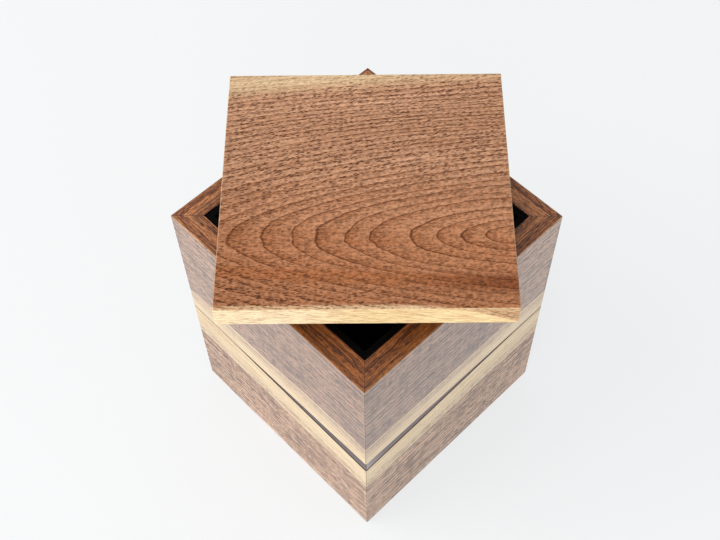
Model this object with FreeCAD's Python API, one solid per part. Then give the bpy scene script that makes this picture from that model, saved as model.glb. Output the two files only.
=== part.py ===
import FreeCAD, Part
import math
import os

# A square walnut puzzle box: a base, an upper section that lifts off it, and a lid that locks both.
# Under the lid a post carries a cross bar. The bar passes a slot in the base only when the lid is
# turned by an eighth of a turn, so the closed lid holds the whole stack together.
# Millimetres, +Z up. The origin is on the floor under the middle of the box. The faces lie along X
# and Y, and the front corner, where the finger gap opens, points to +X and -Y.
# The pieces are where they are with the lid drawn up and turned, free to lift off.

Vector = FreeCAD.Vector
MIDDLE = Vector(0, 0, 0)
UP = Vector(0, 0, 1)

# Walnut case
box_side = 150.0
wall = 12.7
base_height = 88.5
upper_height = 96.5
seat_gap = 0.1
arris = 0.4

# Finger gap at the front corner: how far it is cut below and above the line where the sections meet,
# and how far it runs along each wall before it closes
gap_below = 4.8
gap_above = 5.4
gap_run_front = 122.0
gap_run_right = 146.0

# Bottom panel, held in a groove round the base walls
panel_thick = 6.0
panel_rise = 5.0
groove_depth = 5.0

# Hidden splines across the mitres
spline_thick = 3.0
spline_width = 10.0
spline_from_inside = 5.0
spline_stop = 12.0

# Black liner of the base, which stands up as a lip inside the upper section
liner_thick = 4.0
liner_fit = 0.2
lip_height = 14.0
lip_lead_in = 1.0
felt_thick = 2.0

# Black lining of the upper section
lining_set_down = 0.6
lining_play = 0.5

# Bridge across the liner, with the slot that the lid's cross bar has to pass
slot_width = 15.0
rail_width = 18.0
rail_depth = 10.0
stop_radius = 4.0
stop_depth = 7.0
stop_play = 0.3

# Lid board, where it stands above the rim and how far it is turned from square with the box
lid_thick = 14.2
lid_raise = 14.7
lid_turn = 45.7
lid_ease = 0.6

# Hub, post, cross bar and guide sleeve under the lid
lock_turn = 45.0
hub_radius = 30.0
hub_thick = 12.0
hub_chamfer = 3.0
post_radius = 6.0
post_socket = 6.0
tenon_radius = 4.0
bar_length = 56.0
bar_side_play = 0.5
bar_thick = 8.0
bar_play = 0.4
pin_radius = 1.5
sleeve_width = 20.0
sleeve_fit = 0.1
sleeve_end_play = 0.2
post_running_fit = 0.05
glue_line = 0.03

# Countersunk screws that hold the hub to the lid
screw_count = 4
screw_circle_radius = 20.0
screw_radius = 1.75
screw_head_radius = 3.5
screw_head_depth = 1.75
screw_length = 19.0

# Places worked out from the sizes above
half = box_side / 2
box_height = base_height + upper_height
liner_half = half - wall - liner_fit
panel_top = panel_rise + panel_thick
liner_top = base_height + lip_height
rail_bottom = liner_top - rail_depth
lid_under = box_height + lid_raise
hub_bottom = lid_under - hub_thick
bar_width = slot_width - 2 * bar_side_play
bar_top = rail_bottom - bar_play
bar_bottom = bar_top - bar_thick

SIDES = ("front", "right", "back", "left")


def block(low, high):
    """A box between two opposite corners."""
    size = high.sub(low)
    return Part.makeBox(size.x, size.y, size.z, low)


def prism(points, way):
    """A flat outline drawn out along a direction."""
    return Part.Face(Part.makePolygon(points + points[:1])).extrude(way)


def rod(radius, low, high, x=0.0, y=0.0):
    """An upright round bar."""
    return Part.makeCylinder(radius, high - low, Vector(x, y, low))


def turned_piece(outline):
    """A solid turned about the upright axis, from points of radius and height."""
    points = [Vector(radius, 0, height) for radius, height in outline]
    return Part.Face(Part.makePolygon(points + points[:1])).revolve(MIDDLE, UP, 360)


def turned(shape, degrees):
    """A copy turned about the upright axis through the middle of the box."""
    return shape.rotated(MIDDLE, UP, degrees)


def mitred_board(outer, thick, low, high):
    """A board on the front side, outer face at y = -outer, with both ends cut at 45 degrees."""
    inner = outer - thick
    plan = [
        Vector(-outer, -outer, low),
        Vector(outer, -outer, low),
        Vector(inner, -inner, low),
        Vector(-inner, -inner, low),
    ]
    return prism(plan, Vector(0, 0, high - low))


def finger_gap(end, run):
    """The tapered opening in a wall seen from outside, widest at its right (1) or left (-1) end."""
    corner = end * half
    points = [
        Vector(corner - end * run, -half, base_height),
        Vector(corner, -half, base_height - gap_below),
        Vector(corner, -half, base_height + gap_above),
    ]
    return prism(points, Vector(0, wall, 0))


def mitre_splines(low, high):
    """Four upright splines, each square across the mitre of one corner."""
    from_middle = (half - wall) * math.sqrt(2) + spline_from_inside
    spline = block(
        Vector(from_middle - spline_thick / 2, -spline_width / 2, low),
        Vector(from_middle + spline_thick / 2, spline_width / 2, high),
    )
    return Part.makeCompound([turned(spline, 90 * corner + 45) for corner in range(4)])


def case_walls(low, high, cuts):
    """The four walls of a section, with the finger gap in the two that meet at the front corner.

    The arrises are taken off the outside of the whole section, so that they carry on round its corners.
    """
    outside = block(Vector(-half, -half, low), Vector(half, half, high))
    outside = outside.makeChamfer(arris, outside.Edges)
    gaps = {"front": finger_gap(1, gap_run_front), "right": finger_gap(-1, gap_run_right)}
    walls = {}
    for quarter, side in enumerate(SIDES):
        board = mitred_board(half, wall, low, high).common(outside)
        if side in gaps:
            board = board.cut(gaps[side])
        walls[side] = turned(board, 90 * quarter).cut(cuts)
    return walls


def bottom_panel():
    """The panel that closes the base, reaching into the grooves of the walls."""
    reach = half - wall + groove_depth
    return block(Vector(-reach, -reach, panel_rise), Vector(reach, reach, panel_top))


def stop_dowel(radius):
    """The dowel under the right rail that halts the cross bar where the lid is square with the box."""
    from_middle = (bar_width / 2 + stop_radius + stop_play) / math.cos(math.radians(lock_turn))
    return rod(radius, bar_bottom - lid_raise, rail_bottom + stop_depth, from_middle)


def guide_sleeve():
    """The square sleeve that slides in the rails and lets the post turn inside it."""
    low = bar_top + sleeve_end_play
    high = hub_bottom - sleeve_end_play
    reach = sleeve_width / 2
    square = block(Vector(-reach, -reach, low), Vector(reach, reach, high))
    return square.cut(rod(post_radius + post_running_fit, low, high))


def lip_outside():
    """The outside of the liner, with a lead-in round its top for the upper section to find."""
    outside = block(Vector(-liner_half, -liner_half, panel_top), Vector(liner_half, liner_half, liner_top))
    top_edges = [edge for edge in outside.Edges if edge.BoundBox.ZMin > liner_top - lip_lead_in]
    return outside.makeChamfer(lip_lead_in, top_edges)


def bridge_rail():
    """The right rail of the bridge, notched for the sleeve and bored for the stop dowel."""
    rail = block(
        Vector(slot_width / 2, -liner_half, rail_bottom),
        Vector(slot_width / 2 + rail_width, liner_half, liner_top),
    )
    reach = sleeve_width / 2 + sleeve_fit
    notch = block(Vector(-reach, -reach, rail_bottom), Vector(reach, reach, liner_top))
    return rail.common(lip_outside()).cut(notch).cut(stop_dowel(stop_radius + glue_line))


def liner_boards(rails):
    """The four black boards inside the base, notched where the rails are let in."""
    board = mitred_board(liner_half, liner_thick, panel_top, liner_top).common(lip_outside())
    return {side: turned(board, 90 * quarter).cut(rails) for quarter, side in enumerate(SIDES)}


def upper_linings():
    """The four black boards inside the upper section, above the lip of the liner."""
    low = liner_top + lining_play
    board = mitred_board(half - wall, liner_thick, low, box_height - lining_set_down)
    return {side: turned(board, 90 * quarter) for quarter, side in enumerate(SIDES)}


def felt_floor():
    """The felt on the bottom panel, inside the liner."""
    reach = liner_half - liner_thick
    return block(Vector(-reach, -reach, panel_top), Vector(reach, reach, panel_top + felt_thick))


def screw():
    """One countersunk screw on the axis, driven up through the hub into the lid."""
    return turned_piece([
        (0, hub_bottom),
        (screw_head_radius, hub_bottom),
        (screw_radius, hub_bottom + screw_head_depth),
        (screw_radius, hub_bottom + screw_length - screw_radius),
        (0, hub_bottom + screw_length),
    ])


def screw_hole():
    """The hole for one screw, a glue line wider than the screw."""
    return turned_piece([
        (0, hub_bottom),
        (screw_head_radius + glue_line, hub_bottom),
        (screw_radius + glue_line, hub_bottom + screw_head_depth),
        (screw_radius + glue_line, hub_bottom + screw_length - screw_radius),
        (0, hub_bottom + screw_length + glue_line),
    ])


def round_the_hub(shape):
    """Copies of a shape on the screw circle."""
    out = shape.translated(Vector(screw_circle_radius, 0, 0))
    return Part.makeCompound([turned(out, 360 / screw_count * place) for place in range(screw_count)])


def lid_board():
    """The walnut lid, eased along every edge, with the post's socket and the screw holes below."""
    board = block(Vector(-half, -half, lid_under), Vector(half, half, lid_under + lid_thick))
    board = board.makeFillet(lid_ease, board.Edges)
    socket = rod(post_radius + glue_line, lid_under, lid_under + post_socket)
    return board.cut(socket).cut(round_the_hub(screw_hole()))


def lid_hub():
    """The turned disc that steadies the post against the lid."""
    disc = turned_piece([
        (0, hub_bottom),
        (hub_radius - hub_chamfer, hub_bottom),
        (hub_radius, hub_bottom + hub_chamfer),
        (hub_radius, lid_under),
        (0, lid_under),
    ])
    bore = rod(post_radius + glue_line, hub_bottom, lid_under)
    return disc.cut(bore).cut(round_the_hub(screw_hole()))


def bar_pin(radius):
    """The pin across the cross bar and the foot of the post."""
    middle = (bar_bottom + bar_top) / 2
    pin = Part.makeCylinder(radius, bar_width, Vector(-bar_width / 2, 0, middle), Vector(1, 0, 0))
    return turned(pin, -lock_turn)


def lid_post():
    """The post, turned down to a tenon where the cross bar sits."""
    top = lid_under + post_socket - glue_line
    post = turned_piece([
        (0, bar_bottom),
        (tenon_radius, bar_bottom),
        (tenon_radius, bar_top),
        (post_radius, bar_top),
        (post_radius, top),
        (0, top),
    ])
    return post.cut(bar_pin(pin_radius + glue_line))


def lock_bar():
    """The cross bar, with ends rounded about the post so that it swings clear."""
    bar = block(
        Vector(-bar_width / 2, -bar_length / 2, bar_bottom),
        Vector(bar_width / 2, bar_length / 2, bar_top),
    )
    bar = turned(bar.common(rod(bar_length / 2, bar_bottom, bar_top)), -lock_turn)
    bar = bar.cut(rod(tenon_radius + glue_line, bar_bottom, bar_top))
    return bar.cut(bar_pin(pin_radius + glue_line))


def build():
    """Every piece of the box by name, as it stands with the lid drawn up and turned."""
    panel = bottom_panel()
    right_rail = bridge_rail()
    left_rail = turned(right_rail, 180)
    rails = Part.makeCompound([right_rail, left_rail])
    dowel = stop_dowel(stop_radius)
    base_splines = mitre_splines(panel_top + spline_stop, base_height - gap_below - spline_stop)
    upper_splines = mitre_splines(base_height + gap_above + spline_stop, box_height - spline_stop)

    pieces = {
        "bottom_panel": panel,
        "floor_felt": felt_floor(),
        "base_mitre_splines": base_splines,
        "bridge_rail_right": right_rail,
        "bridge_rail_left": left_rail,
        "turn_stops": Part.makeCompound([dowel, turned(dowel, 180)]),
        "upper_mitre_splines": upper_splines,
        "guide_sleeve": guide_sleeve(),
    }
    base_cuts = Part.makeCompound([panel, base_splines])
    sets = {
        "base_wall_": case_walls(0, base_height, base_cuts),
        "base_liner_": liner_boards(rails),
        "upper_wall_": case_walls(base_height + seat_gap, box_height, upper_splines),
        "upper_lining_": upper_linings(),
    }
    for start, boards in sets.items():
        for side, board in boards.items():
            pieces[start + side] = board

    lid_pieces = {
        "lid_board": lid_board(),
        "lid_hub": lid_hub(),
        "hub_screws": round_the_hub(screw()),
        "lid_post": lid_post(),
        "lock_bar": lock_bar(),
        "lock_bar_pin": bar_pin(pin_radius),
    }
    for name, piece in lid_pieces.items():
        pieces[name] = turned(piece, lid_turn)
    return pieces


os.makedirs("parts", exist_ok=True)
for name, shape in build().items():
    shape.exportStep("parts/" + name + ".step")
    print(name, len(shape.Solids), "solids", round(shape.Volume / 1000, 2), "cm3", shape.isValid())
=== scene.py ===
# %% [markdown]
# A square walnut puzzle box stands with one corner towards us. Its lid is drawn up and turned by an
# eighth of a turn. The solids come from the CAD model, so this lesson is about finish: wood that looks
# as if it were cut from a log, a satin coat, black stain, felt and a little metal.
# Every texture is made of nodes in the object's own millimetres, so it stays on a piece when it moves.

# %% Load the frame
import math

import bmesh
import bpy
from mathutils import Matrix, Vector, noise


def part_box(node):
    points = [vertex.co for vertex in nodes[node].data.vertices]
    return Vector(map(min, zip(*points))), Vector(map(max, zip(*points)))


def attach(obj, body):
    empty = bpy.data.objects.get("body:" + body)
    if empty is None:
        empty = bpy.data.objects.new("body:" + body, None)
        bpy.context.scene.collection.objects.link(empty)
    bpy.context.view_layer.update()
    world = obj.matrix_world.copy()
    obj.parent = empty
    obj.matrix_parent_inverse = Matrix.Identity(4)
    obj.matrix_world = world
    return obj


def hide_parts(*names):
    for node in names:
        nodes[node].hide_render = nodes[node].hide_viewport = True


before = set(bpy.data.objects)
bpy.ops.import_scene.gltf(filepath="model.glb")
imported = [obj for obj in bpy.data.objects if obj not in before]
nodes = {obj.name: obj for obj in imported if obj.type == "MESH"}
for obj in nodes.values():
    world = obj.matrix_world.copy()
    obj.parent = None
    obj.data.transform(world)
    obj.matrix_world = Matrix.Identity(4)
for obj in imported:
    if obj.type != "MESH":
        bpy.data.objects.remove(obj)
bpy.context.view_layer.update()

MM = 0.001

# %% [markdown]
# The places that the finishes depend on are read from the frame: the outer faces of the case, the line
# where the two sections meet, the rim, and the top of the lid. If the CAD model changes, they follow.
# Only the turn of the lid is given here, because a box round a turned board doesn't tell it.

# %% Read the places
LID_TURN_DEGREES = 45.7
case_low, case_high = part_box("base_wall_front")
upper_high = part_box("upper_wall_back")[1]
lid_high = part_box("lid_board")[1]
half_side = -case_low.y / MM
girth = 8 * half_side
meeting_height = case_high.z / MM
rim_height = upper_high.z / MM
lid_top = lid_high.z / MM
lid_turn = math.radians(LID_TURN_DEGREES)
print("case half side", round(half_side, 1), "mm, lid's top at", round(lid_top, 1), "mm")
print("meeting line at", round(meeting_height, 1), "mm, rim at", round(rim_height, 1), "mm")

# %% [markdown]
# Node trees are easier to read when the wiring is short. These helpers make one node each and hand back
# its output socket, so an expression reads like arithmetic. A number sets a socket, a socket is linked.

# %% Helpers for numbers
def plug(tree, socket, value):
    """Links a socket to an input, or sets the input to a plain value."""
    if isinstance(value, bpy.types.NodeSocket):
        tree.links.new(value, socket)
    else:
        socket.default_value = value


def calc(tree, operation, first, second=0.0, third=0.0):
    """One step of arithmetic on numbers."""
    node = tree.nodes.new("ShaderNodeMath")
    node.operation = operation
    for socket, value in zip(node.inputs, (first, second, third)):
        plug(tree, socket, value)
    return node.outputs[0]


def fade(tree, value, start, end, low=0.0, high=1.0):
    """A soft step: low before start, high after end."""
    node = tree.nodes.new("ShaderNodeMapRange")
    node.interpolation_type = "SMOOTHSTEP"
    names = ("Value", "From Min", "From Max", "To Min", "To Max")
    for name, given in zip(names, (value, start, end, low, high)):
        plug(tree, node.inputs[name], given)
    return node.outputs["Result"]


print("helpers for numbers ready")

# %% [markdown]
# Vectors carry a place on the wood, and colours are laid over each other like glazes. Noise is asked for by
# the size of its lumps in millimetres, which is easier to judge against a real board than a scale.

# %% Helpers for places and colours
NOISE_MIDDLE = 0.5


def split(tree, vector):
    """The three parts of a vector."""
    node = tree.nodes.new("ShaderNodeSeparateXYZ")
    plug(tree, node.inputs[0], vector)
    return node.outputs[0], node.outputs[1], node.outputs[2]


def join(tree, x, y, z):
    """A vector from three numbers."""
    node = tree.nodes.new("ShaderNodeCombineXYZ")
    for socket, value in zip(node.inputs, (x, y, z)):
        plug(tree, socket, value)
    return node.outputs[0]


def stretched(tree, vector, along):
    """A place whose first part, which runs along the grain, is multiplied by a factor."""
    node = tree.nodes.new("ShaderNodeVectorMath")
    node.operation = "MULTIPLY"
    plug(tree, node.inputs[0], vector)
    node.inputs[1].default_value = (along, 1.0, 1.0)
    return node.outputs[0]


def cloudy(tree, vector, size, detail=2.0, roughness=0.5):
    """Soft noise from 0 to 1 whose lumps are about size millimetres."""
    node = tree.nodes.new("ShaderNodeTexNoise")
    plug(tree, node.inputs["Vector"], vector)
    node.inputs["Scale"].default_value = 1.0 / size
    node.inputs["Detail"].default_value = detail
    node.inputs["Roughness"].default_value = roughness
    return node.outputs["Fac"]


def glaze(tree, share, first, second, mode="MIX"):
    """A second colour laid over a first one, by a share from 0 to 1."""
    node = tree.nodes.new("ShaderNodeMix")
    node.data_type = "RGBA"
    node.blend_type = mode
    plug(tree, node.inputs["Factor"], share)
    plug(tree, node.inputs["A"], first)
    plug(tree, node.inputs["B"], second)
    return node.outputs["Result"]


def tinted(tree, share, colour, tint):
    """A colour multiplied by a tint, by a share from 0 to 1."""
    return glaze(tree, share, colour, tint, "MULTIPLY")


def linear(red, green, blue):
    """A colour given as it looks on screen, 0 to 255, in the linear values that nodes use."""
    def channel(value):
        value = value / 255
        return value / 12.92 if value <= 0.04045 else ((value + 0.055) / 1.055) ** 2.4
    return (channel(red), channel(green), channel(blue), 1.0)


print("helpers ready, for example mid grey is", round(linear(128, 128, 128)[0], 3))

# %% [markdown]
# Each effect that several woods share becomes a node group, built once and placed where it is needed.
# A group has named inputs and outputs, which are made with interface.new_socket.

# %% A maker of node groups
KINDS = {"value": "NodeSocketFloat", "vector": "NodeSocketVector", "colour": "NodeSocketColor"}


def new_group(name, inputs, outputs):
    """An empty group with its sockets, and the nodes that stand for its inputs and outputs."""
    tree = bpy.data.node_groups.new(name, "ShaderNodeTree")
    for socket, kind in inputs.items():
        tree.interface.new_socket(socket, in_out="INPUT", socket_type=KINDS[kind])
    for socket, kind in outputs.items():
        tree.interface.new_socket(socket, in_out="OUTPUT", socket_type=KINDS[kind])
    return tree, tree.nodes.new("NodeGroupInput").outputs, tree.nodes.new("NodeGroupOutput").inputs


def place_group(tree, group, **values):
    """A copy of a group in a tree. Words in an input's name are joined by an underscore here."""
    node = tree.nodes.new("ShaderNodeGroup")
    node.node_tree = group
    for name, value in values.items():
        plug(tree, node.inputs[name.replace("_", " ")], value)
    return node.outputs


print("node groups so far", len(bpy.data.node_groups))

# %% [markdown]
# Walnut shows its year rings as thin dark lines with a soft shade before each of them. A board is a slice
# of a log, so the ring at a point depends only on how far the point is from the pith. Where the pith runs
# at a slant to the board, the slice shows nested arches, which joiners call a cathedral. One formula then
# gives the arches on the face and the arcs on the end grain, and they meet at the edges.

# %% Group: year rings
RING_CLOUD = 26.0
RING_CLOUD_STRETCH = 0.35
UNEVEN_SIZE = 7.0
UNEVEN_REACH = 4.4
SHADE_POWER = 2.0
LINE_RISE = (0.87, 0.955)
LINE_FALL = (0.96, 0.995, 1.0, 0.0)


def build_rings():
    """Ring shade and ring lines round a pith that runs at a slant under the board."""
    tree, given, result = new_group(
        "year rings",
        {"Place": "vector", "Pith across": "value", "Pith height": "value", "Pith slope": "value",
         "Ring width": "value", "Wander": "value"},
        {"Distance": "value", "Shade": "value", "Line": "value"},
    )
    along, across, height = split(tree, given["Place"])
    cloud_place = stretched(tree, given["Place"], RING_CLOUD_STRETCH)
    cloud = cloudy(tree, cloud_place, RING_CLOUD, detail=4.0, roughness=0.68)
    wander = calc(tree, "MULTIPLY", calc(tree, "SUBTRACT", cloud, NOISE_MIDDLE), given["Wander"])
    from_pith = calc(tree, "SUBTRACT", across, given["Pith across"])
    pith_height = calc(tree, "MULTIPLY_ADD", along, given["Pith slope"], given["Pith height"])
    over_pith = calc(tree, "SUBTRACT", height, pith_height)
    square = calc(tree, "MULTIPLY", over_pith, over_pith)
    distance = calc(tree, "SQRT", calc(tree, "MULTIPLY_ADD", from_pith, from_pith, square))
    distance = calc(tree, "ADD", distance, wander)
    uneven = cloudy(tree, join(tree, distance, 0.0, 0.0), UNEVEN_SIZE, detail=1.0)
    rings = calc(tree, "MULTIPLY_ADD", uneven, UNEVEN_REACH, distance)
    phase = calc(tree, "FRACT", calc(tree, "DIVIDE", rings, given["Ring width"]))
    plug(tree, result["Distance"], distance)
    plug(tree, result["Shade"], calc(tree, "POWER", phase, SHADE_POWER))
    line = calc(tree, "MULTIPLY", fade(tree, phase, *LINE_RISE), fade(tree, phase, *LINE_FALL))
    plug(tree, result["Line"], line)
    return tree


year_rings = build_rings()
print("made", year_rings.name, "with", len(year_rings.nodes), "nodes")

# %% [markdown]
# The dark flecks on walnut are its pores, cut open along their length. A cell texture stretched along the
# grain puts one fleck in each cell, and the cell's own random numbers decide how large it is, and whether
# there is one. That gives separate flecks, which stretched noise alone would smear together.

# %% Group: open pores
BEND_SIZE = 6.0
BEND_STRETCH = 0.2
SMALLEST_REACH = 0.34
RANDOM_REACH = 0.24
CORE_SHARE = 0.80


def build_pores():
    """A mask of short dark dashes along the grain."""
    tree, given, result = new_group(
        "open pores",
        {"Place": "vector", "Length": "value", "Thickness": "value", "Slant": "value", "Bend": "value",
         "Share": "value"},
        {"Mask": "value"},
    )
    along, across, height = split(tree, given["Place"])
    bend = cloudy(tree, stretched(tree, given["Place"], BEND_STRETCH), BEND_SIZE, detail=1.0)
    across = calc(tree, "MULTIPLY_ADD", bend, given["Bend"], across)
    across = calc(tree, "SUBTRACT", across, calc(tree, "MULTIPLY", along, given["Slant"]))
    cells = tree.nodes.new("ShaderNodeTexVoronoi")
    cells.inputs["Scale"].default_value = 1.0
    cell_place = join(
        tree,
        calc(tree, "DIVIDE", along, given["Length"]),
        calc(tree, "DIVIDE", across, given["Thickness"]),
        calc(tree, "DIVIDE", height, given["Thickness"]),
    )
    plug(tree, cells.inputs["Vector"], cell_place)
    chance, size = split(tree, cells.outputs["Color"])[:2]
    kept = calc(tree, "LESS_THAN", chance, given["Share"])
    reach = calc(tree, "MULTIPLY_ADD", size, RANDOM_REACH, SMALLEST_REACH)
    core = calc(tree, "MULTIPLY", reach, CORE_SHARE)
    dash = fade(tree, cells.outputs["Distance"], core, reach, 1.0, 0.0)
    plug(tree, result["Mask"], calc(tree, "MULTIPLY", dash, kept))
    return tree


open_pores = build_pores()
print("made", open_pores.name, "with", len(open_pores.nodes), "nodes")

# %% [markdown]
# Between the pores the wood is made of fibres, which show as fine light and dark streaks, and it shimmers
# in soft patches where the fibres dip in and out of the surface. Over wider parts its tone drifts. All
# three are noise stretched along the grain, and differ in stretch, size, detail and roughness.

# %% Group: wood fibres
FIBRE_LOOKS = {
    "Streak": (0.02, 0.7, 3.0, 0.6),
    "Shimmer": (0.6, 1.2, 2.0, 0.6),
    "Drift": (0.12, 14.0, 2.0, 0.5),
}


def build_fibres():
    """Fine streaks along the grain, soft patches and a slow drift of tone, all from 0 to 1."""
    outputs = {name: "value" for name in FIBRE_LOOKS}
    tree, given, result = new_group("wood fibres", {"Place": "vector"}, outputs)
    for name, (stretch, size, detail, roughness) in FIBRE_LOOKS.items():
        place = stretched(tree, given["Place"], stretch)
        plug(tree, result[name], cloudy(tree, place, size, detail, roughness))
    return tree


wood_fibres = build_fibres()
print("made", wood_fibres.name, "with", len(wood_fibres.nodes), "nodes")

# %% [markdown]
# Hands and sandpaper rub the finish along every arris. The CAD model has those small flats, and on a flat
# that leans two ways the normal has two large parts, so the product of the parts finds them.

# %% Group: rubbed arris
ARRIS_LEAN = (0.15, 0.4)


def build_arris():
    """A mask of the narrow slanted flats along the edges, from the normal in the board's own frame."""
    tree, given, result = new_group("rubbed arris", {"Normal": "vector"}, {"Mask": "value"})
    x, y, z = split(tree, given["Normal"])
    pairs = [calc(tree, "ABSOLUTE", calc(tree, "MULTIPLY", *pair)) for pair in ((x, y), (y, z), (z, x))]
    total = calc(tree, "ADD", calc(tree, "ADD", pairs[0], pairs[1]), pairs[2])
    plug(tree, result["Mask"], fade(tree, total, *ARRIS_LEAN))
    return tree


rubbed_arris = build_arris()
print("made", rubbed_arris.name, "with", len(rubbed_arris.nodes), "nodes")

# %% [markdown]
# The colour of walnut is built up in the same order everywhere: a ground between pale and dark heartwood,
# a share of red, the ring lines, the shimmer and last the pores. Sapwood replaces the brown with cream
# where a mask says so, and there shimmer and pores are weak. As one group, the case, the lid and the bottom
# panel can share it and differ only in their values.

# %% Group: walnut colour
HEART_PALE = linear(216, 168, 135)
HEART_DARK = linear(134, 82, 50)
HEART_RED = linear(168, 102, 60)
RING_INK = linear(84, 46, 30)
PORE_INK = linear(82, 44, 26)
SAP_CREAM = linear(247, 225, 182)
SAP_LINE = linear(206, 164, 120)
SHADE_WEIGHT = 0.45
DRIFT_WEIGHT = 0.55
TONE_DROP = 0.45
SAP_STREAKS = (0.40, 0.65, 0.0, 0.7)
SWING_BY_SAP = (0.0, 1.0, 0.30, 0.05)
SHIMMER_STEP = (0.3, 0.7)
FLECK_BY_SAP = (0.0, 1.0, 0.92, 0.12)
STREAK_RELIEF = 0.25
SATIN_ROUGHNESS = (0.2, 0.8, 0.40, 0.50)
PORE_ROUGHNESS = 0.25


def build_walnut():
    """Walnut's colour, and the height and roughness of its surface, from the masks of the groups above."""
    tree, given, result = new_group(
        "walnut colour",
        {"Shade": "value", "Line": "value", "Pores": "value", "Streak": "value", "Shimmer": "value",
         "Drift": "value", "Sapwood": "value", "Red": "value", "Line strength": "value"},
        {"Colour": "colour", "Height": "value", "Roughness": "value"},
    )
    tone = calc(tree, "MULTIPLY", given["Drift"], DRIFT_WEIGHT)
    tone = calc(tree, "MULTIPLY_ADD", given["Shade"], SHADE_WEIGHT, tone)
    tone = calc(tree, "ADD", given["Streak"], calc(tree, "SUBTRACT", tone, TONE_DROP))
    heart = glaze(tree, tone, HEART_PALE, HEART_DARK)
    heart = glaze(tree, given["Red"], heart, HEART_RED)
    line = calc(tree, "MULTIPLY", given["Line"], given["Line strength"])
    heart = glaze(tree, line, heart, RING_INK)
    sap_streak = calc(tree, "ADD", line, fade(tree, given["Streak"], *SAP_STREAKS))
    sap = glaze(tree, sap_streak, SAP_CREAM, SAP_LINE)
    wood = glaze(tree, given["Sapwood"], heart, sap)
    swing = fade(tree, given["Sapwood"], *SWING_BY_SAP)
    darkest = calc(tree, "SUBTRACT", 1.0, swing)
    brightest = calc(tree, "ADD", 1.0, swing)
    lift = fade(tree, given["Shimmer"], *SHIMMER_STEP, darkest, brightest)
    wood = tinted(tree, 1.0, wood, join(tree, lift, lift, lift))
    fleck = calc(tree, "MULTIPLY", given["Pores"], fade(tree, given["Sapwood"], *FLECK_BY_SAP))
    plug(tree, result["Colour"], glaze(tree, fleck, wood, PORE_INK))
    pit = calc(tree, "MULTIPLY", given["Pores"], -1.0)
    plug(tree, result["Height"], calc(tree, "MULTIPLY_ADD", given["Streak"], STREAK_RELIEF, pit))
    satin = fade(tree, given["Streak"], *SATIN_ROUGHNESS)
    plug(tree, result["Roughness"], calc(tree, "MULTIPLY_ADD", given["Pores"], PORE_ROUGHNESS, satin))
    return tree


walnut_colour = build_walnut()
print("made", walnut_colour.name, "with", len(walnut_colour.nodes), "nodes")

# %% [markdown]
# A material starts from the object's coordinates, turned so that X runs along the grain, Y across the
# board and Z through it, in millimetres. The shader is set up here once: satin oil is a clear coat over
# wood, and at a grazing angle it mirrors the pale floor, which is why the upright walls look washed out.

# %% A start for every finish
COAT_ROUGHNESS = 0.34


def new_finish(name):
    """A material, its node tree and its shader."""
    material = bpy.data.materials.new(name)
    material.use_nodes = True
    tree = material.node_tree
    return material, tree, tree.nodes["Principled BSDF"]


def new_wood(name, coat):
    """A finish with a clear coat of a given weight."""
    material, tree, shader = new_finish(name)
    shader.inputs["Coat Weight"].default_value = coat
    shader.inputs["Coat Roughness"].default_value = COAT_ROUGHNESS
    return material, tree, shader


def turned(tree, source, kind, turn, size):
    """A coordinate of the object, turned about Z and scaled."""
    node = tree.nodes.new("ShaderNodeMapping")
    node.vector_type = kind
    node.inputs["Rotation"].default_value = (0.0, 0.0, -turn)
    node.inputs["Scale"].default_value = (size, size, size)
    tree.links.new(tree.nodes.new("ShaderNodeTexCoord").outputs[source], node.inputs["Vector"])
    return node.outputs[0]


def board_place(tree, turn=0.0):
    """The point in a board's own frame, in millimetres."""
    return turned(tree, "Object", "POINT", turn, 1 / MM)


def board_normal(tree, turn):
    """The normal in a board's own frame."""
    return turned(tree, "Normal", "VECTOR", turn, 1.0)


print("coat roughness", COAT_ROUGHNESS)

# %% [markdown]
# Pores and fibres are felt as much as seen. A Bump node tilts the normal by their height, which catches the
# light without more faces. What every walnut board needs from the groups is gathered here as well.

# %% Relief, walnut and dressing
WOOD_RELIEF = 0.04 * MM


def dent(tree, shader, height, depth):
    """A fine relief: depth is in metres for a height of 1."""
    bump = tree.nodes.new("ShaderNodeBump")
    bump.inputs["Distance"].default_value = depth
    plug(tree, bump.inputs["Height"], height)
    plug(tree, shader.inputs["Normal"], bump.outputs["Normal"])


def walnut(tree, shader, rings, fibres, pores, **values):
    """Walnut's colour from its masks. Roughness and relief go to the shader at once."""
    wood = place_group(
        tree, walnut_colour, Shade=rings["Shade"], Line=rings["Line"], Pores=pores,
        Streak=fibres["Streak"], Shimmer=fibres["Shimmer"], Drift=fibres["Drift"], **values,
    )
    plug(tree, shader.inputs["Roughness"], wood["Roughness"])
    dent(tree, shader, wood["Height"], WOOD_RELIEF)
    return wood["Colour"]


def rubbed_paler(tree, turn, share, colour):
    """A colour that is a little paler on the arrises."""
    rubbed = place_group(tree, rubbed_arris, Normal=board_normal(tree, turn))
    return glaze(tree, calc(tree, "MULTIPLY", rubbed["Mask"], share), colour, SAP_CREAM)


def dress(names, material):
    """Gives a material to CAD nodes."""
    for name in names:
        nodes[name].data.materials.clear()
        nodes[name].data.materials.append(material)


print("relief of the wood", round(WOOD_RELIEF / MM, 3), "mm")

# %% [markdown]
# The lid is one flat-sawn board. Its arches point to the left and open to the right, so the pith comes up
# to the face at the right end. The grain also fans out a little from left to right, so the distance from
# the pith's line is divided by a factor that grows along the board.

# %% The lid's grain
PITH_ACROSS = -32.5
PITH_SLOPE = 0.206
PITH_MEETS_FACE = 81.0
LID_RING = 3.0
LID_WANDER = 3.2
LID_FAN = (40.0, 95.0, 0.003, 0.0008)


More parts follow.
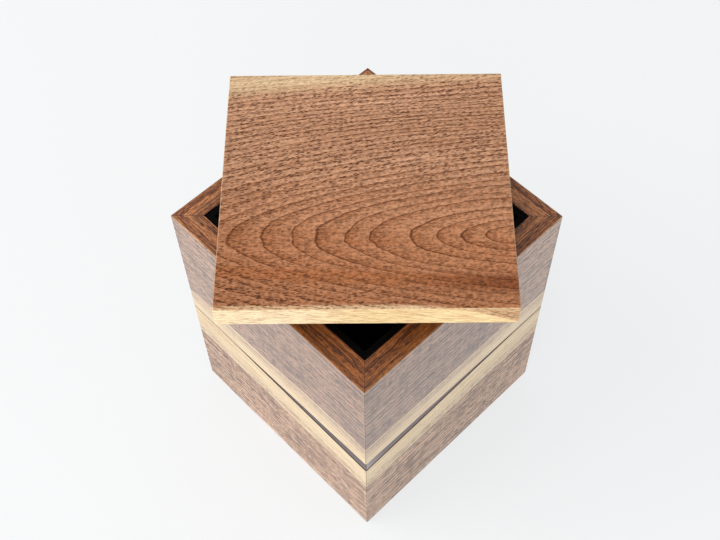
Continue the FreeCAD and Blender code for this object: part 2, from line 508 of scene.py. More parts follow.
def lid_grain(tree, place):
    """The lid's place along its fanned grain, and its year rings."""
    along, across, height = split(tree, place)
    from_pith = calc(tree, "SUBTRACT", across, PITH_ACROSS)
    from_left = calc(tree, "ADD", along, half_side)
    fan = calc(tree, "MULTIPLY_ADD", from_left, fade(tree, from_pith, *LID_FAN), 1.0)
    across_grain = calc(tree, "ADD", calc(tree, "DIVIDE", from_pith, fan), PITH_ACROSS)
    grain = join(tree, along, across_grain, height)
    rings = place_group(
        tree, year_rings, Place=grain, Pith_across=PITH_ACROSS, Wander=LID_WANDER, Ring_width=LID_RING,
        Pith_slope=-PITH_SLOPE, Pith_height=lid_top + PITH_SLOPE * PITH_MEETS_FACE,
    )
    return grain, across_grain, rings


print("the pith meets the lid's face", PITH_MEETS_FACE - round(half_side), "mm past its right end")

# %% [markdown]
# On the real board the ring lines are drawn clearly only in the arches, near the pith. Further back they
# melt into rows of pores, apart from one streak like a pencil line. At the front they come back weakly.
# Each row of numbers below is a soft step: from where to where, and the strength before and after it.

# %% The lid's ring lines
ARCH_LINES = (24.0, 46.0, 0.78, 0.10)
ARCH_FRONT_END = (-60.0, -46.0, 0.15, 1.0)
FRONT_LINES = (-58.0, -48.0, 0.5, 0.0)
PENCIL_ACROSS = 53.0
PENCIL_LINES = (2.0, 7.0, 0.6, 0.0)


def lid_lines(tree, across, across_grain, distance):
    """How strongly the ring lines show over the lid."""
    arches = fade(tree, distance, *ARCH_LINES)
    arches = calc(tree, "MULTIPLY", arches, fade(tree, across, *ARCH_FRONT_END))
    from_pencil = calc(tree, "ABSOLUTE", calc(tree, "SUBTRACT", across_grain, PENCIL_ACROSS))
    lines = calc(tree, "MAXIMUM", arches, fade(tree, across, *FRONT_LINES))
    return calc(tree, "MAXIMUM", lines, fade(tree, from_pencil, *PENCIL_LINES))


print("ring lines fade out between", ARCH_LINES[0], "and", ARCH_LINES[1], "mm from the pith")

# %% [markdown]
# Pale sapwood runs along the back edge of the lid, with a ragged border and dimmer to the right. The whole
# front edge is sapwood too, and its border leans through the board's thickness, with a wedge of brown let
# in at the right end. Both are masks of distances, so they meet at the arrises as in a real board.

# %% The lid's sapwood
BACK_SAP = (56.0, 67.0, 0.0, 0.62)
BACK_RAGGED = 16.0
BACK_DIMMER = (-20.0, 60.0, 1.0, 0.78)
BORDER_LEAN = 0.6
FRONT_SAP_WIDTH = 2.6
FRONT_BORDER = (-1.0, 0.6, 1.0, 0.0)
WEDGE_RUN = (10.0, 92.0)
WEDGE_POWER = 1.7
WEDGE_HEIGHT = 12.0
PALE_BELOW_ARRIS = (0.0, 0.8, 0.45, 1.0)
FRONT_FACE = (0.2, 0.6, 0.45, 0.0)


def lid_back_sap(tree, along, across_grain, streak):
    """The band of sapwood along the back edge."""
    ragged = calc(tree, "MULTIPLY", calc(tree, "SUBTRACT", streak, NOISE_MIDDLE), BACK_RAGGED)
    band = fade(tree, calc(tree, "ADD", across_grain, ragged), *BACK_SAP)
    return calc(tree, "MULTIPLY", band, fade(tree, along, *BACK_DIMMER))


def lid_front_sap(tree, along, across, deep):
    """The sapwood of the front edge, with its wedge of brown."""
    from_front = calc(tree, "ADD", across, half_side)
    leaning = calc(tree, "SUBTRACT", from_front, calc(tree, "MULTIPLY", deep, BORDER_LEAN))
    wedge = calc(tree, "POWER", fade(tree, along, *WEDGE_RUN), WEDGE_POWER)
    border = calc(tree, "MULTIPLY_ADD", wedge, -WEDGE_HEIGHT, FRONT_SAP_WIDTH)
    pale = fade(tree, calc(tree, "SUBTRACT", leaning, border), *FRONT_BORDER)
    pale = calc(tree, "MULTIPLY", pale, fade(tree, deep, *PALE_BELOW_ARRIS))
    return calc(tree, "MAXIMUM", pale, fade(tree, from_front, *FRONT_FACE))


print("the lid's back sapwood starts about", round(half_side - BACK_SAP[0]), "mm from the back edge")

# %% [markdown]
# A red band runs along the board close to the front edge and is burnt darker at its right end, and a wash
# of red covers the front half. The heartwood darkens a little towards the front and the left, and the front
# edge turns from cream to gold. These are glazes over the wood's colour, laid one after the other.

# %% The lid's glazes
RED_SLOPE = -0.05
RED_ACROSS = -57.0
RED_BAND = (2.0, 8.0, 0.85, 0.0)
RED_WASH = (-50.0, 25.0, 0.62, 0.0)
BURNT_END = (10.0, 75.0, 0.0, 0.6)
DIM_FRONT = (-72.0, -35.0, 0.88, 1.0)
DIM_LEFT = (-75.0, -30.0, 0.93, 1.0)
DIM_STOPS_AT_SAP = (0.0, 0.5)
FRONT_CREAM = (1.0, 1.05, 1.15, 1.0)
FRONT_GOLD = (1.0, 0.98, 0.88, 1.0)
GOLD_RUN = (-45.0, 5.0)
UNDER_ARRIS = (0.0, 0.8)
LID_RUB = 0.25


def lid_red(tree, along, across):
    """The red band on its own, and all the red of the lid."""
    middle = calc(tree, "MULTIPLY_ADD", along, RED_SLOPE, RED_ACROSS)
    band = fade(tree, calc(tree, "ABSOLUTE", calc(tree, "SUBTRACT", across, middle)), *RED_BAND)
    return band, calc(tree, "MAXIMUM", band, fade(tree, across, *RED_WASH))


def lid_glazes(tree, colour, along, across, deep, front_sap, red_band):
    """The lid's colour after its glazes."""
    dim = calc(tree, "MULTIPLY", fade(tree, across, *DIM_FRONT), fade(tree, along, *DIM_LEFT))
    dim = fade(tree, front_sap, *DIM_STOPS_AT_SAP, dim, 1.0)
    colour = tinted(tree, 1.0, colour, join(tree, dim, dim, dim))
    colour = rubbed_paler(tree, lid_turn, LID_RUB, colour)
    front = calc(tree, "MULTIPLY", front_sap, fade(tree, deep, *UNDER_ARRIS))
    colour = tinted(tree, front, colour, glaze(tree, fade(tree, along, *GOLD_RUN), FRONT_CREAM, FRONT_GOLD))
    burnt = calc(tree, "MULTIPLY", red_band, fade(tree, along, *BURNT_END))
    return tinted(tree, burnt, colour, HEART_DARK)


print("the red band lies", round(half_side + RED_ACROSS), "mm behind the front edge")

# %% [markdown]
# Now the lid's material can be put together. The board is shaded without a coat and with hardly any gloss,
# so its browns stay full where the coated walls pale. Pores are dense late in each ring and fainter in the
# arches.

# %% The lid's walnut
LID_GLOSS = 0.08
LID_PORE_SHARE = (0.05, 0.6, 0.3, 1.0)
PORES_IN_ARCHES = (18.0, 45.0, 0.55, 1.0)


def lid_walnut():
    """The lid's wood, with the board's arches and its two bands of sapwood."""
    material, tree, shader = new_wood("walnut_lid", 0.0)
    shader.inputs["Specular IOR Level"].default_value = LID_GLOSS
    place = board_place(tree, lid_turn)
    along, across, height = split(tree, place)
    deep = calc(tree, "SUBTRACT", lid_top, height)
    grain, across_grain, rings = lid_grain(tree, place)
    fibres = place_group(tree, wood_fibres, Place=grain)
    pores = place_group(tree, open_pores, Place=grain, Length=2.8, Thickness=0.66, Slant=0.14, Bend=0.9,
                        Share=fade(tree, rings["Shade"], *LID_PORE_SHARE))
    pores = calc(tree, "MULTIPLY", pores["Mask"], fade(tree, rings["Distance"], *PORES_IN_ARCHES))
    back_sap = lid_back_sap(tree, along, across_grain, fibres["Streak"])
    front_sap = lid_front_sap(tree, along, across, deep)
    red_band, red = lid_red(tree, along, across)
    colour = walnut(
        tree, shader, rings, fibres, pores, Sapwood=calc(tree, "MAXIMUM", back_sap, front_sap), Red=red,
        Line_strength=lid_lines(tree, across, across_grain, rings["Distance"]),
    )
    colour = lid_glazes(tree, colour, along, across, deep, front_sap, red_band)
    plug(tree, shader.inputs["Base Color"], colour)
    return material


dress(["lid_board"], lid_walnut())
print("lid finished: pith slope", PITH_SLOPE, "ring width", LID_RING, "mm")

# %% [markdown]
# The case boards were laid with their sapwood edges together, so a cream band runs round the box above
# and below the line where the sections meet. Its border waves, carries a thin bright line, and is nearer to
# the meeting line at the far ends of the upper walls. Inside, the cream is clearest next to the seam.

# %% The case's sapwood
SAP_BELOW = 28.0
SAP_ABOVE = (20.0, 170.0, 24.5, 18.0)
SAP_BORDER = (-0.8, 0.8, 1.0, 0.0)
SAP_CLEARNESS = (-14.0, -4.0, 1.0, 0.6)
BRIGHT_LINE = (0.3, 0.9, 1.0, 0.0)
WAVE_STRETCH = 0.4
WAVE_SIZE = 30.0
WAVE_REACH = 6.0
AT_MEETING = (-0.1, 0.1)


def case_sapwood(tree, grain, from_meeting, from_corner):
    """The mask of the cream band, from the height over the meeting line."""
    wave = cloudy(tree, stretched(tree, grain, WAVE_STRETCH), WAVE_SIZE, detail=1.0)
    wave = calc(tree, "SUBTRACT", wave, NOISE_MIDDLE)
    edge = calc(tree, "MULTIPLY_ADD", wave, WAVE_REACH, calc(tree, "ABSOLUTE", from_meeting))
    band = fade(tree, from_meeting, *AT_MEETING, SAP_BELOW, fade(tree, from_corner, *SAP_ABOVE))
    past_band = calc(tree, "SUBTRACT", edge, band)
    cream = calc(tree, "MULTIPLY", fade(tree, past_band, *SAP_BORDER), fade(tree, past_band, *SAP_CLEARNESS))
    return calc(tree, "MAXIMUM", cream, fade(tree, calc(tree, "ABSOLUTE", past_band), *BRIGHT_LINE))


print("sapwood", SAP_ABOVE[2], "mm above and", SAP_BELOW, "mm below the meeting line")

# %% [markdown]
# The brown of the walls is streaked with long dark strokes and with open vessels, deeper in the base than
# above. Then the boards are toned: the base is more beige and the upper section greyer. The upper walls are
# a little lighter away from the front corner, which is a painted reflection of the pale floor, and near that
# corner the right wall is a little darker than the front one, which is painted shade. Fine tan lines run
# through the cream.

# %% The case's strokes and tones
UPPER_STROKE = (0.52, 0.47, 0.44, 1.0)
BASE_STROKE = (0.38, 0.32, 0.29, 1.0)
UPPER_VESSEL = (0.38, 0.33, 0.31, 1.0)
BASE_VESSEL = (0.26, 0.21, 0.19, 1.0)
UPPER_TONE = (0.75, 0.77, 0.81, 1.0)
BASE_TONE = (1.16, 1.36, 1.50, 1.0)
# Painted shade near the front corner.
PAINTED_SHADE_TONE = (0.90, 0.92, 0.94, 1.0)
# Painted reflection of the pale floor: the upper walls lighter towards their far ends.
FAR_PAINTED_REFLECTION_TONE = (1.17, 1.25, 1.30, 1.0)
UPPER_CREAM = (0.86, 0.85, 0.83, 1.0)
BASE_CREAM = (0.86, 0.89, 0.94, 1.0)
TAN_TONE = (0.90, 0.82, 0.70, 1.0)
STROKE_STRETCH = 0.04
STROKE_SIZE = 1.9
STROKE_STEP = (0.52, 0.62)
TAN_STRETCH = 0.02
TAN_SIZE = 2.6
TAN_STEP = (0.50, 0.60)
# How much painted shade each wall gets near the front corner, and the part of it that reaches the base.
PAINTED_SHADE_SHARES = {"front": 0.0, "right": 1.0, "back": 0.0, "left": 0.0}
PAINTED_SHADE_IN_BASE = 0.5


def case_strokes(tree, colour, grain, brown, above):
    """Long strokes and open vessels over the brown wood."""
    strokes = cloudy(tree, stretched(tree, grain, STROKE_STRETCH), STROKE_SIZE)
    strokes = calc(tree, "MULTIPLY", fade(tree, strokes, *STROKE_STEP), brown)
    colour = tinted(tree, strokes, colour, glaze(tree, above, BASE_STROKE, UPPER_STROKE))
    vessels = place_group(tree, open_pores, Place=grain, Length=11.0, Thickness=1.0, Slant=0.0, Bend=0.3,
                          Share=0.6)
    vessels = calc(tree, "MULTIPLY", vessels["Mask"], brown)
    return tinted(tree, vessels, colour, glaze(tree, above, BASE_VESSEL, UPPER_VESSEL))


def case_tones(tree, colour, side, grain, sapwood, brown, above, far):
    """The tone of the brown and of the cream, by section and by wall, with painted shade near the front
    corner and a painted reflection towards the far ends of the upper walls.
    """
    tone = glaze(tree, above, BASE_TONE, UPPER_TONE)
    # Painted shade near the front corner, on the right wall only, weaker in the base.
    share = PAINTED_SHADE_SHARES[side]
    painted_shade = fade(tree, above, 0.0, 1.0, PAINTED_SHADE_IN_BASE * share, share)
    painted_shade = calc(tree, "MULTIPLY", calc(tree, "SUBTRACT", 1.0, far), painted_shade)
    tone = tinted(tree, painted_shade, tone, PAINTED_SHADE_TONE)
    # Painted reflection: the upper walls lighter towards their far ends.
    tone = tinted(tree, calc(tree, "MULTIPLY", far, above), tone, FAR_PAINTED_REFLECTION_TONE)
    colour = tinted(tree, brown, colour, tone)
    colour = tinted(tree, sapwood, colour, glaze(tree, above, BASE_CREAM, UPPER_CREAM))
    tan = cloudy(tree, stretched(tree, grain, TAN_STRETCH), TAN_SIZE, detail=1.0)
    tan = calc(tree, "MULTIPLY", fade(tree, tan, *TAN_STEP), sapwood)
    return tinted(tree, tan, colour, TAN_TONE)


print("strokes on the base keep", BASE_STROKE[0], "of the red, on the upper walls", UPPER_STROKE[0])

# %% [markdown]
# A wall's level faces differ from its sides. The rim is uncoated and shows the full brown of the wood, and
# is painted lighter away from the front corner, which leaves painted shade at the corner under the lid. The
# meeting edges are coloured grey, with a painted shadow line at the arris, and the grey is deeper on the
# front and left walls as painted shade. That is what shows in the finger gap.
# Glue lines at the mitres and the closed part of the meeting line are thin and dark.

# %% The case's rim and seams
RIM_TONE = (0.79, 0.46, 0.165, 1.0)
# Painted light: the rim is lighter away from the front corner, which leaves painted shade at the corner
# under the lid.
RIM_PAINTED_LIGHT_TONE = (1.06, 0.74, 0.44, 1.0)
RIM_PAINTED_LIGHT_SHARES = {"front": 1.0, "right": 0.45, "back": 0.7, "left": 0.7}
LEVEL_FACE = (0.5, 0.8)
RIM_TOP = (rim_height - 3.0, rim_height - 2.0)
# Painted shade: the grey of the meeting edges is deeper on the front and left walls.
GAP_GREY_WITH_PAINTED_SHADE = linear(144, 137, 139)
GAP_GREY_PALE = linear(180, 171, 173)
GAP_GREYS_WITH_PAINTED_SHADE = {"front": GAP_GREY_WITH_PAINTED_SHADE, "right": GAP_GREY_PALE, "back": GAP_GREY_PALE, "left": GAP_GREY_WITH_PAINTED_SHADE}
# Painted shadow: a dark line along the outer arris of the meeting edges.
PAINTED_SHADOW_LINE = linear(70, 52, 46)
SHADOW_LINE_WIDTH = (0.35, 0.7)
MEETING_EDGE = (6.0, 7.0, 1.0, 0.0)
SEAM_INK = linear(60, 38, 28)
SEAM_SHARES = {"front": 0.4, "right": 0.9, "back": 0.6, "left": 0.4}
SEAM_WIDTH = (0.5, 1.1)
MITRE_LINE = (0.1, 0.45, 0.75, 0.0)


def gap_grey_and_painted_shade(tree, colour, side, level, from_edge, depth):
    """The grey on the meeting edges, with a painted shadow line at the arris and painted shade on some
    walls.
    """
    # A painted shadow line at the arris, then the grey, deeper on some walls as painted shade.
    stain = glaze(tree, fade(tree, depth, *SHADOW_LINE_WIDTH), PAINTED_SHADOW_LINE, GAP_GREYS_WITH_PAINTED_SHADE[side])
    return glaze(tree, calc(tree, "MULTIPLY", level, fade(tree, from_edge, *MEETING_EDGE)), colour, stain)


def case_seams(tree, colour, side, along, depth, from_edge):
    """Dark lines where two boards meet."""
    to_corner = calc(tree, "SUBTRACT", half_side, calc(tree, "ABSOLUTE", along))
    from_mitre = calc(tree, "ABSOLUTE", calc(tree, "SUBTRACT", to_corner, depth))
    meeting = fade(tree, from_edge, *SEAM_WIDTH, SEAM_SHARES[side], 0.0)
    return glaze(tree, calc(tree, "MAXIMUM", fade(tree, from_mitre, *MITRE_LINE), meeting), colour, SEAM_INK)


print("the rim's tone starts", round(rim_height - RIM_TOP[0], 1), "mm below the top of the rim")

# %% [markdown]
# The grain runs on round the corners: each wall's X is the distance along the wrapped boards, so streaks
# that end at one mitre go on at the next. One function makes the wood of a side for both sections, because
# the meeting line's height tells them apart. Across the narrow rim the pores are finer than on the face.

# %% The case's walnut
CASE_PITH = 150.0
CASE_PITH_DEPTH = -30.0
CASE_PITH_SLOPE = 0.03
CASE_RING = 4.2
CASE_WANDER = 6.0
CASE_PORE_SHARE = (0.05, 0.7, 0.25, 0.9)
CASE_LINES = 0.6
CASE_RUB = 0.2
RIM_FINENESS = 1.8
FRONT_CORNER = half_side
FAR_END = (70.0, 150.0)
BASE_COAT = 0.45
UPPER_COAT = 1.0


def case_walnut(side, quarter):
    """The wood of one side of the case, upper and base walls alike."""
    material, tree, shader = new_wood("walnut_" + side, UPPER_COAT)
    turn = quarter * math.pi / 2
    along, depth, height = split(tree, board_place(tree, turn))
    run = calc(tree, "ADD", along, quarter * girth / 4)
    depth = calc(tree, "ADD", depth, half_side)
    from_meeting = calc(tree, "SUBTRACT", height, meeting_height)
    from_edge = calc(tree, "ABSOLUTE", from_meeting)
    round_box = calc(tree, "ADD", run, girth / 2 - FRONT_CORNER)
    round_box = calc(tree, "FLOORED_MODULO", round_box, girth)
    from_corner = calc(tree, "ABSOLUTE", calc(tree, "SUBTRACT", round_box, girth / 2))
    grain = join(tree, run, height, calc(tree, "MULTIPLY", depth, RIM_FINENESS))
    rings = place_group(
        tree, year_rings, Place=join(tree, run, from_edge, depth), Pith_across=CASE_PITH,
        Pith_height=CASE_PITH_DEPTH, Pith_slope=CASE_PITH_SLOPE, Ring_width=CASE_RING, Wander=CASE_WANDER,
    )
    fibres = place_group(tree, wood_fibres, Place=grain)
    pores = place_group(tree, open_pores, Place=grain, Length=4.2, Thickness=0.75, Slant=0.05, Bend=0.5,
                        Share=fade(tree, rings["Shade"], *CASE_PORE_SHARE))
    sapwood = case_sapwood(tree, grain, from_meeting, from_corner)
    brown = calc(tree, "SUBTRACT", 1.0, sapwood)
    above = fade(tree, from_meeting, *AT_MEETING)
    far = fade(tree, from_corner, *FAR_END)
    colour = walnut(tree, shader, rings, fibres, pores["Mask"], Sapwood=sapwood, Red=0.0,
                    Line_strength=CASE_LINES)
    colour = case_strokes(tree, colour, grain, brown, above)
    colour = case_tones(tree, colour, side, grain, sapwood, brown, above, far)
    colour = rubbed_paler(tree, turn, CASE_RUB, colour)
    up = split(tree, board_normal(tree, turn))[2]
    level = fade(tree, calc(tree, "ABSOLUTE", up), *LEVEL_FACE)
    rim = calc(tree, "MULTIPLY", level, fade(tree, height, *RIM_TOP))
    # The rim's own brown, with painted light away from the front corner and painted shade near it.
    rim_tone_and_painted_light = glaze(tree, calc(tree, "MULTIPLY", far, RIM_PAINTED_LIGHT_SHARES[side]), RIM_TONE, RIM_PAINTED_LIGHT_TONE)
    colour = tinted(tree, rim, colour, rim_tone_and_painted_light)
    # Meeting edges: grey, with a painted shadow line and painted shade.
    colour = gap_grey_and_painted_shade(tree, colour, side, level, from_edge, depth)
    plug(tree, shader.inputs["Base Color"], case_seams(tree, colour, side, along, depth, from_edge))
    coat = fade(tree, from_meeting, *AT_MEETING, BASE_COAT, UPPER_COAT)
    coat = calc(tree, "MULTIPLY", coat, fade(tree, rim, 0.0, 1.0, 1.0, 0.0))
    plug(tree, shader.inputs["Coat Weight"], coat)
    return material


sides = ("front", "right", "back", "left")
for quarter, side in enumerate(sides):
    dress(["base_wall_" + side, "upper_wall_" + side], case_walnut(side, quarter))
print("case finished:", len(sides), "sides of two walls each")

# %% [markdown]
# The bottom panel is a plain thin walnut board, seen only from below or with the box taken apart. It uses
# the same groups with quieter values and hardly any coat.

# %% The bottom panel's walnut
PANEL_COAT = 0.2
PANEL_LINES = 0.5


def panel_walnut():
    """A quiet board of walnut, with the grain along X."""
    material, tree, shader = new_wood("walnut_panel", PANEL_COAT)
    place = board_place(tree)
    rings = place_group(tree, year_rings, Place=place, Pith_across=18.0, Pith_height=40.0, Pith_slope=0.08,
                        Ring_width=4.0, Wander=3.0)
    fibres = place_group(tree, wood_fibres, Place=place)
    pores = place_group(tree, open_pores, Place=place, Length=2.6, Thickness=0.8, Slant=0.0, Bend=0.9,
                        Share=0.5)
    colour = walnut(tree, shader, rings, fibres, pores["Mask"], Sapwood=0.0, Red=0.0,
                    Line_strength=PANEL_LINES)
    plug(tree, shader.inputs["Base Color"], colour)
    return material


dress(["bottom_panel"], panel_walnut())
print("bottom panel finished")

# %% [markdown]
# The lining, the liner and the bridge are stained black, and the parts of the lock that a look through the
# mouth would meet are black as well: the sleeve and hub by stain, the maple lid post and lock bar as painted
# shade, so the inside reads as a dark hole. Stain still shows the fibres a little, as a change of tone and
# of gloss. The splines in the mitres, which only the maker sees, are pale maple.

# %% Black stained wood and maple
TONE_STEP = (0.3, 0.7)
PLAIN_RUB = 0.3
PLAIN_RELIEF = 0.03 * MM
ROUGHNESS_SPREAD = 0.12


def plain_wood(name, tones, rough, gloss, turn=0.0):
    """A wood of two close tones with streaks along X, for pieces without much figure."""
    material, tree, shader = new_wood(name, 0.0)
    shader.inputs["Specular IOR Level"].default_value = gloss
    place = board_place(tree, turn)
    fibres = place_group(tree, wood_fibres, Place=place)
    pores = place_group(tree, open_pores, Place=place, Length=2.0, Thickness=0.6, Slant=0.0, Bend=0.9,
                        Share=0.3)
    rubbed = place_group(tree, rubbed_arris, Normal=board_normal(tree, turn))
    colour = glaze(tree, fade(tree, fibres["Streak"], *TONE_STEP), *tones)
    colour = glaze(tree, calc(tree, "MULTIPLY", rubbed["Mask"], PLAIN_RUB), colour, tones[1])
    plug(tree, shader.inputs["Base Color"], colour)
    drift = fade(tree, fibres["Drift"], *TONE_STEP, rough, rough + ROUGHNESS_SPREAD)
    plug(tree, shader.inputs["Roughness"], drift)
    dent(tree, shader, calc(tree, "MULTIPLY_ADD", pores["Mask"], -1.0, fibres["Streak"]), PLAIN_RELIEF)
    return material


BLACK_TONES = (linear(3, 3, 3), linear(9, 8, 8))
BLACK_ROUGH = 0.6
BLACK_GLOSS = 0.04
MAPLE_TONES = (linear(222, 192, 150), linear(200, 164, 118))
MAPLE_ROUGH = 0.42
MAPLE_GLOSS = 0.5
along_x = ["base_liner_front", "base_liner_back", "upper_lining_front", "upper_lining_back"]
along_y = ["base_liner_right", "base_liner_left", "upper_lining_right", "upper_lining_left",
           "bridge_rail_right", "bridge_rail_left"]
# Black on the lock: stain on the sleeve and hub, painted shade on the maple lid post and lock bar.
lock_pieces_black_as_painted_shade = ["guide_sleeve", "lid_hub", "lid_post", "lock_bar", "turn_stops"]
dress(along_x + lock_pieces_black_as_painted_shade, plain_wood("black_stain_and_painted_shade_x", BLACK_TONES, BLACK_ROUGH, BLACK_GLOSS))
dress(along_y, plain_wood("black_stain_y", BLACK_TONES, BLACK_ROUGH, BLACK_GLOSS, math.pi / 2))
splines = ["base_mitre_splines", "upper_mitre_splines"]
dress(splines, plain_wood("maple", MAPLE_TONES, MAPLE_ROUGH, MAPLE_GLOSS))
print("stained", len(along_x) + len(along_y) + len(lock_pieces_black_as_painted_shade), "pieces black")

# %% [markdown]
# Four steel screws hold the hub and a brass pin holds the cross bar. Metal takes its look from what it
# mirrors, so fine scratches in its roughness say more than its colour.

# %% Steel and brass
SCRATCH_STRETCH = 0.2
SCRATCH_SIZE = 0.3
SCRATCH_SPREAD = 0.15


def metal(name, tones, rough):
    """A metal with a drawn surface."""
    material, tree, shader = new_finish(name)
    shader.inputs["Metallic"].default_value = 1.0
    scratch = cloudy(tree, stretched(tree, board_place(tree), SCRATCH_STRETCH), SCRATCH_SIZE)
    plug(tree, shader.inputs["Base Color"], glaze(tree, scratch, *tones))
    plug(tree, shader.inputs["Roughness"], fade(tree, scratch, *TONE_STEP, rough, rough + SCRATCH_SPREAD))
    return material


STEEL_TONES = (linear(196, 196, 192), linear(160, 160, 158))
STEEL_ROUGH = 0.28
BRASS_TONES = (linear(214, 178, 100), linear(186, 148, 76))
BRASS_ROUGH = 0.25
dress(["hub_screws"], metal("steel", STEEL_TONES, STEEL_ROUGH))
dress(["lock_bar_pin"], metal("brass", BRASS_TONES, BRASS_ROUGH))
print("metal on screws and pin")

# %% [markdown]
# A square of black felt lies on the bottom panel. The CAD solid is a plain slab. Here it becomes a sheet
# with a soft edge and a slightly uneven face, made from a grid of points that a smooth noise lifts.

# %% The felt's shape
FELT_STEPS = 48
FELT_EDGE = 1.2 * MM
FELT_RELIEF = 0.25 * MM
FELT_LUMP = 9 * MM
FELT_EDGE_SHARE = 0.35


def felt_top(x, y, low, high):
    """The height of the felt's face at a point. Its lumps, from -1 to 0, only sink into the face."""
    inside = min(x - low.x, high.x - x, y - low.y, high.y - y)
    share = min(inside / FELT_EDGE, 1.0)
    rounded = math.sqrt(1.0 - (1.0 - share) ** 2)
    lumps = noise.noise(Vector((x, y, 0.0)) / FELT_LUMP) * 0.5 - 0.5
    full = FELT_EDGE_SHARE + (1.0 - FELT_EDGE_SHARE) * rounded
    return low.z + (high.z - low.z) * full + FELT_RELIEF * lumps * rounded


def felt_sheet():
    """The felt as a closed thin sheet with rounded edges, inside the box of its CAD solid."""
    low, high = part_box("floor_felt")
    width = high.x - low.x
    shape = bmesh.new()
    grid = {}
    for i in range(FELT_STEPS + 1):
        for j in range(FELT_STEPS + 1):
            x = low.x + width * i / FELT_STEPS
            y = low.y + width * j / FELT_STEPS
            grid[i, j, 1] = shape.verts.new((x, y, felt_top(x, y, low, high)))
            grid[i, j, 0] = shape.verts.new((x, y, low.z))
    for i in range(FELT_STEPS):
        for j in range(FELT_STEPS):
            for level, way in ((1, 1), (0, -1)):
                square = ((i, j), (i + 1, j), (i + 1, j + 1), (i, j + 1))
                shape.faces.new([grid[(*corner, level)] for corner in square[::way]])
    rim = [(k, 0) for k in range(FELT_STEPS)] + [(FELT_STEPS, k) for k in range(FELT_STEPS)]
    rim += [(k, FELT_STEPS) for k in range(FELT_STEPS, 0, -1)] + [(0, k) for k in range(FELT_STEPS, 0, -1)]
    for here, there in zip(rim, rim[1:] + rim[:1]):
        shape.faces.new([grid[(*here, 0)], grid[(*there, 0)], grid[(*there, 1)], grid[(*here, 1)]])
    mesh = bpy.data.meshes.new("felt_sheet")
    shape.to_mesh(mesh)
    shape.free()
    for face in mesh.polygons:
        face.use_smooth = True
    sheet = bpy.data.objects.new("felt_sheet", mesh)
    bpy.context.scene.collection.objects.link(sheet)
    return sheet, width


floor_sheet, felt_width = felt_sheet()
print("felt sheet", round(felt_width / MM, 1), "mm square with", len(floor_sheet.data.polygons), "faces")

# %% [markdown]
# Felt is a mat of fibres that scatters light in all directions, with a little grey fuzz that catches it at
# a low angle. Two sizes of noise give the fibres and the tufts, and the shader's sheen gives the fuzz.

# %% The felt's finish
FELT_TONES = (linear(14, 14, 15), linear(44, 43, 44))
FELT_SHEEN = 0.25
FELT_ROUGHNESS = (0.9, 1.0)
FELT_FIBRE = 0.45
FELT_TUFT = 3.0
FIBRE_WEIGHT = 0.7
TUFT_WEIGHT = 0.3
FELT_BUMP = 0.2 * MM


def felt():
    """Black felt: matted fibres with a little grey fuzz."""
    material, tree, shader = new_finish("black_felt")
    shader.inputs["Sheen Weight"].default_value = FELT_SHEEN
    place = board_place(tree)
    matted = cloudy(tree, place, FELT_FIBRE, detail=4.0, roughness=0.7)
    tufts = calc(tree, "MULTIPLY", cloudy(tree, place, FELT_TUFT), TUFT_WEIGHT)
    tone = calc(tree, "MULTIPLY_ADD", matted, FIBRE_WEIGHT, tufts)
    plug(tree, shader.inputs["Base Color"], glaze(tree, tone, *FELT_TONES))
    plug(tree, shader.inputs["Roughness"], fade(tree, matted, *TONE_STEP, *FELT_ROUGHNESS))
    dent(tree, shader, matted, FELT_BUMP)
    return material


floor_sheet.data.materials.append(felt())
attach(floor_sheet, "base")
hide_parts("floor_felt")
print("felt laid on the bottom panel")

# %% [markdown]
# The box stands on a pale floor. Diffuse white takes the soft shadow. A share of plain white is mixed in
# for what the camera and mirrored rays see, so the ground looks bright and the shadow stays faint. For the
# light that bounces on to the box the floor is only the diffuse white.

# %% Floor
FLOOR_REACH = 3.0
FLOOR_WHITE = (0.92, 0.93, 0.935, 1.0)
FLOOR_GLOW = (0.90, 0.92, 0.935, 1.0)
GLOW_SHARE = 0.74
FLOOR_ROUGH = 0.9
FLOOR_GLOSS = 0.1


def seen_rays(tree):
    """1 for what the camera sees, straight or in a mirror or glass, and 0 for light that bounces."""
    path = tree.nodes.new("ShaderNodeLightPath").outputs
    seen = calc(tree, "MAXIMUM", path["Is Camera Ray"], path["Is Glossy Ray"])
    return calc(tree, "MAXIMUM", seen, path["Is Transmission Ray"])


def floor():
    """A large flat sheet of pale paper under the box."""
    mesh = bpy.data.meshes.new("floor")
    corners = [(x * FLOOR_REACH, y * FLOOR_REACH, 0) for x, y in ((-1, -1), (1, -1), (1, 1), (-1, 1))]
    mesh.from_pydata(corners, [], [(0, 1, 2, 3)])
    ground = bpy.data.objects.new("floor", mesh)
    bpy.context.scene.collection.objects.link(ground)
    material, tree, shader = new_finish("pale_floor")
    shader.inputs["Base Color"].default_value = FLOOR_WHITE
    shader.inputs["Roughness"].default_value = FLOOR_ROUGH
    shader.inputs["Specular IOR Level"].default_value = FLOOR_GLOSS
    glow = tree.nodes.new("ShaderNodeEmission")
    glow.inputs["Color"].default_value = FLOOR_GLOW
    mix = tree.nodes.new("ShaderNodeMixShader")
    plug(tree, mix.inputs[0], calc(tree, "MULTIPLY", seen_rays(tree), GLOW_SHARE))
    tree.links.new(shader.outputs[0], mix.inputs[1])
    tree.links.new(glow.outputs[0], mix.inputs[2])
    tree.links.new(mix.outputs[0], tree.nodes["Material Output"].inputs["Surface"])
    mesh.materials.append(material)


floor()
print("floor", 2 * FLOOR_REACH, "m across")

# %% [markdown]
# The light is a bright room: an even pale world from all sides. Where the camera and mirrored rays look
# past the floor they see the tone of the far floor, worked out from its own values, so no horizon shows.

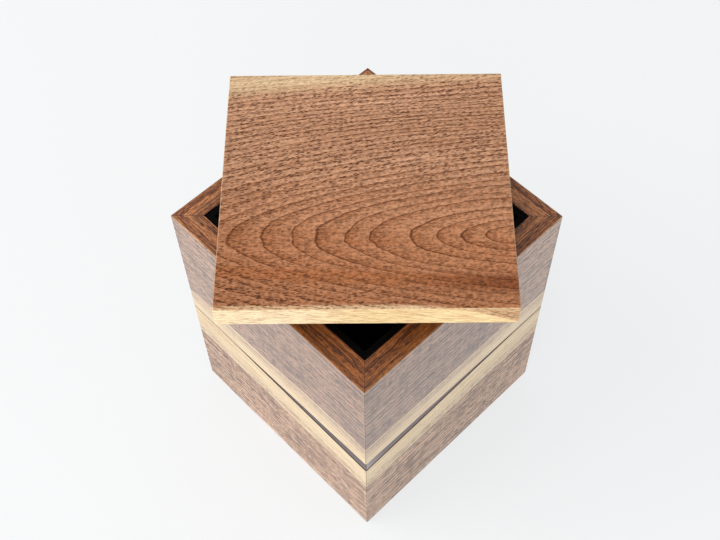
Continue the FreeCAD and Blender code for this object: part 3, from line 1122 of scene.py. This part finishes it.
# %% The room
WORLD_STRENGTH = 0.69
bpy.context.scene.view_settings.view_transform = "Standard"
world = bpy.data.worlds.new("pale_room")
world.use_nodes = True
room = world.node_tree
room.nodes["Background"].inputs["Color"].default_value = (1.0, 1.0, 1.0, 1.0)
room.nodes["Background"].inputs["Strength"].default_value = WORLD_STRENGTH
far_floor = [glow * GLOW_SHARE + white * (1.0 - GLOW_SHARE) * WORLD_STRENGTH
             for glow, white in zip(FLOOR_GLOW, FLOOR_WHITE)]
backdrop = room.nodes.new("ShaderNodeBackground")
backdrop.inputs["Color"].default_value = far_floor
chosen = room.nodes.new("ShaderNodeMixShader")
plug(room, chosen.inputs[0], seen_rays(room))
room.links.new(room.nodes["Background"].outputs[0], chosen.inputs[1])
room.links.new(backdrop.outputs[0], chosen.inputs[2])
room.links.new(chosen.outputs[0], room.nodes["World Output"].inputs["Surface"])
bpy.context.scene.world = world
print("world strength", WORLD_STRENGTH)

# %% [markdown]
# Two lamps add shape to that even light. A large soft one from the upper left makes the left wall a little
# lighter than the right one, and a weak low one before the corner lights the front edge of the lid.

# %% Lamps
LAMP_AIM = Vector((0.0, 0.0, 0.1))
KEY_PLACE = Vector((-0.9, -1.1, 1.2))
FILL_PLACE = Vector((0.60, -0.86, 0.50))
LAMPS = {"key_lamp": (KEY_PLACE, 1.8, 18.0, (1.0, 0.95, 0.90)),
         "fill_lamp": (FILL_PLACE, 0.9, 4.2, (1.0, 0.96, 0.91))}


def soft_lamp(name, place, size, power, colour):
    """A round lamp that faces the box."""
    data = bpy.data.lights.new(name, "AREA")
    data.shape = "DISK"
    data.size = size
    data.energy = power
    data.color = colour
    lamp = bpy.data.objects.new(name, data)
    lamp.location = place
    lamp.rotation_euler = (LAMP_AIM - place).to_track_quat("-Z", "Y").to_euler()
    bpy.context.scene.collection.objects.link(lamp)


for lamp_name, lamp_values in LAMPS.items():
    soft_lamp(lamp_name, *lamp_values)
print(len(LAMPS), "soft lamps")

# %% [markdown]
# The camera stands in front of the corner and looks steeply down, as someone standing at the table would.
# Its place, aim, roll and focal length were found by fitting the corners of the box to the photograph.

# %% Camera
CAMERA_PLACE = Vector((0.2546, -0.2446, 0.6963))
CAMERA_AIM = Vector((-0.0072, 0.0012, 0.12))
CAMERA_ROLL = math.radians(-1.37)
CAMERA_LENS = 57.45
SENSOR_WIDTH = 36.0
camera_data = bpy.data.cameras.new("camera")
camera_data.lens = CAMERA_LENS
camera_data.sensor_width = SENSOR_WIDTH
camera = bpy.data.objects.new("camera", camera_data)
look = (CAMERA_AIM - CAMERA_PLACE).to_track_quat("-Z", "Y").to_matrix()
look = look @ Matrix.Rotation(CAMERA_ROLL, 3, "Z")
camera.matrix_world = Matrix.Translation(CAMERA_PLACE) @ look.to_4x4()
bpy.context.scene.collection.objects.link(camera)
bpy.context.scene.camera = camera
print("camera", round((CAMERA_AIM - CAMERA_PLACE).length, 3), "m from its aim")
